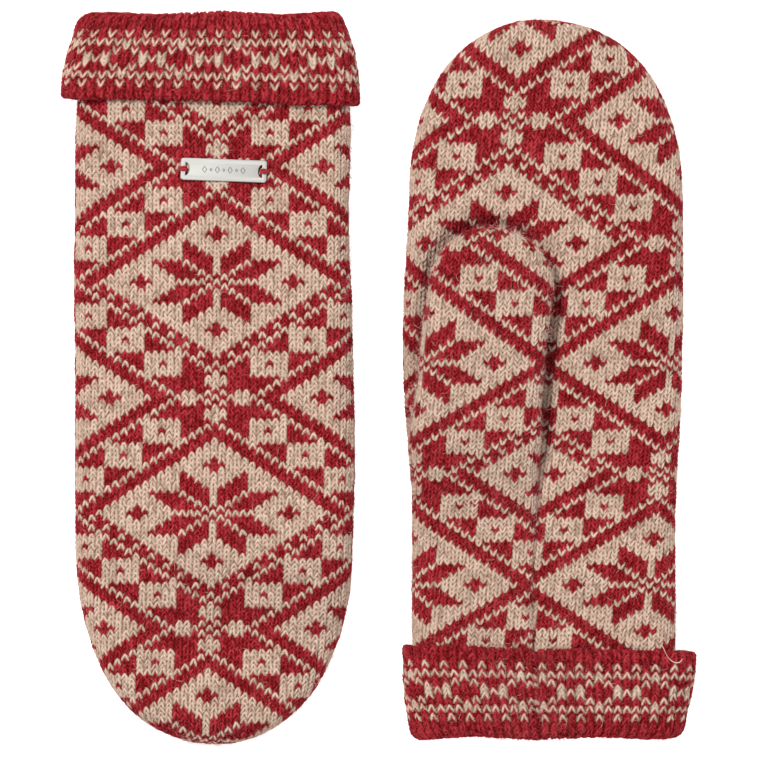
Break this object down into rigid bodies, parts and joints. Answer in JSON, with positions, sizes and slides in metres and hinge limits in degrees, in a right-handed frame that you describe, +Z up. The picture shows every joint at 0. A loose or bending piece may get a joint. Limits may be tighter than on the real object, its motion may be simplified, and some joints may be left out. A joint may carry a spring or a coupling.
{
  "type": "pair of knitted mittens",
  "caption": "Pair of thick patterned wool mittens with turned-up cuffs and a sewn-on metal label, laid flat, one back up and one palm up.",
  "frame": {"origin": "centre of the pair's footprint, on the surface it lies on", "axes": "+Y along the mittens, towards the left-hand mitten's fingertips and the right-hand mitten's cuff; +X from the right-hand mitten to the left-hand one; +Z up off the surface"},
  "size_m": [0.2287, 0.2636, 0.028],
  "materials": {
    "knit_body": "brushed wool, stranded knit in red and beige",
    "knit_cuff": "brushed wool, stranded knit in red with a beige border",
    "seam_yarn": "dark red wool yarn",
    "label_yarn": "red yarn",
    "label_metal": "satin silver metal with a polished edge"
  },
  "bodies": {
    "right_mitten": {"right_hand_back": "knit_body", "right_hand_palm": "knit_body", "right_thumb_gusset": "knit_body", "right_cuff": "knit_cuff", "right_palm_seam": "seam_yarn", "right_thumb_seam": "seam_yarn", "label_plate": "label_metal", "label_thread_west": "label_yarn", "label_thread_east": "label_yarn"},
    "right_thumb": {"right_thumb": "knit_body"},
    "left_mitten": {"left_hand_back": "knit_body", "left_hand_palm": "knit_body", "left_thumb_gusset": "knit_body", "left_cuff": "knit_cuff", "left_palm_seam": "seam_yarn", "left_thumb_seam": "seam_yarn"},
    "left_thumb": {"left_thumb": "knit_body"}
  },
  "joints": [
    {"name": "right_thumb_swing", "type": "hinge", "parent": "right_mitten", "child": "right_thumb", "pos_m": [-0.0353, 0.02975, 0.0116], "axis": [0, 0, 1], "range_deg": [0, 20]},
    {"name": "left_mitten_lift", "type": "slide", "parent": "right_mitten", "child": "left_mitten", "axis": [0, 0, 1], "range_m": [0, 0.1]},
    {"name": "left_thumb_swing", "type": "hinge", "parent": "left_mitten", "child": "left_thumb", "pos_m": [0.0353, -0.0277, 0.016], "axis": [0, 0, 1], "range_deg": [0, 20]}
  ]
}
